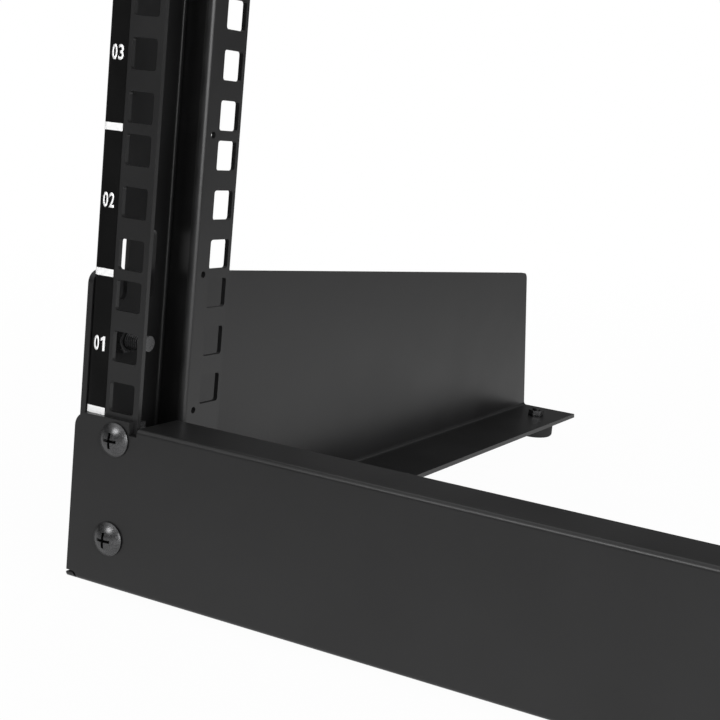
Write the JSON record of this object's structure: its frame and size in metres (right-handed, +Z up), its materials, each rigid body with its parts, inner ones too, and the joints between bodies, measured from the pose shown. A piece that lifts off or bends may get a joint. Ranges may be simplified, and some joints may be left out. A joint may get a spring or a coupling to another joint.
{
  "type": "two post open frame rack",
  "caption": "Low two-post open frame rack of bent black steel: square-holed posts, front beams top and bottom, L-shaped feet on rubber pads.",
  "frame": {"origin": "on the floor under the middle of the rack's bounding box", "axes": "+Z up, +X from the left post to the right post seen from the front, +Y from the front to the rear"},
  "size_m": [0.5042, 0.3549, 0.6454],
  "materials": {
    "black_steel": "satin black powder coat",
    "black_screw": "satin black oxide",
    "pad_rubber": "matt"
  },
  "bodies": {
    "root": {"post_left": "black_steel", "post_right": "black_steel", "beam_bottom": "black_steel", "beam_top": "black_steel", "foot_left": "black_steel", "foot_right": "black_steel", "screws_bottom_left": "black_screw", "nuts_bottom_left": "black_screw", "screws_bottom_right": "black_screw", "nuts_bottom_right": "black_screw", "screws_top_left": "black_screw", "nuts_top_left": "black_screw", "screws_top_right": "black_screw", "nuts_top_right": "black_screw", "foot_bolts_left": "black_screw", "foot_nuts_left": "black_screw", "pad_front_left": "pad_rubber", "pad_screw_front_left": "black_screw", "pad_nut_front_left": "black_screw", "pad_rear_left": "pad_rubber", "pad_screw_rear_left": "black_screw", "pad_nut_rear_left": "black_screw", "foot_bolts_right": "black_screw", "foot_nuts_right": "black_screw", "pad_front_right": "pad_rubber", "pad_screw_front_right": "black_screw", "pad_nut_front_right": "black_screw", "pad_rear_right": "pad_rubber", "pad_screw_rear_right": "black_screw", "pad_nut_rear_right": "black_screw"}
  },
  "joints": []
}
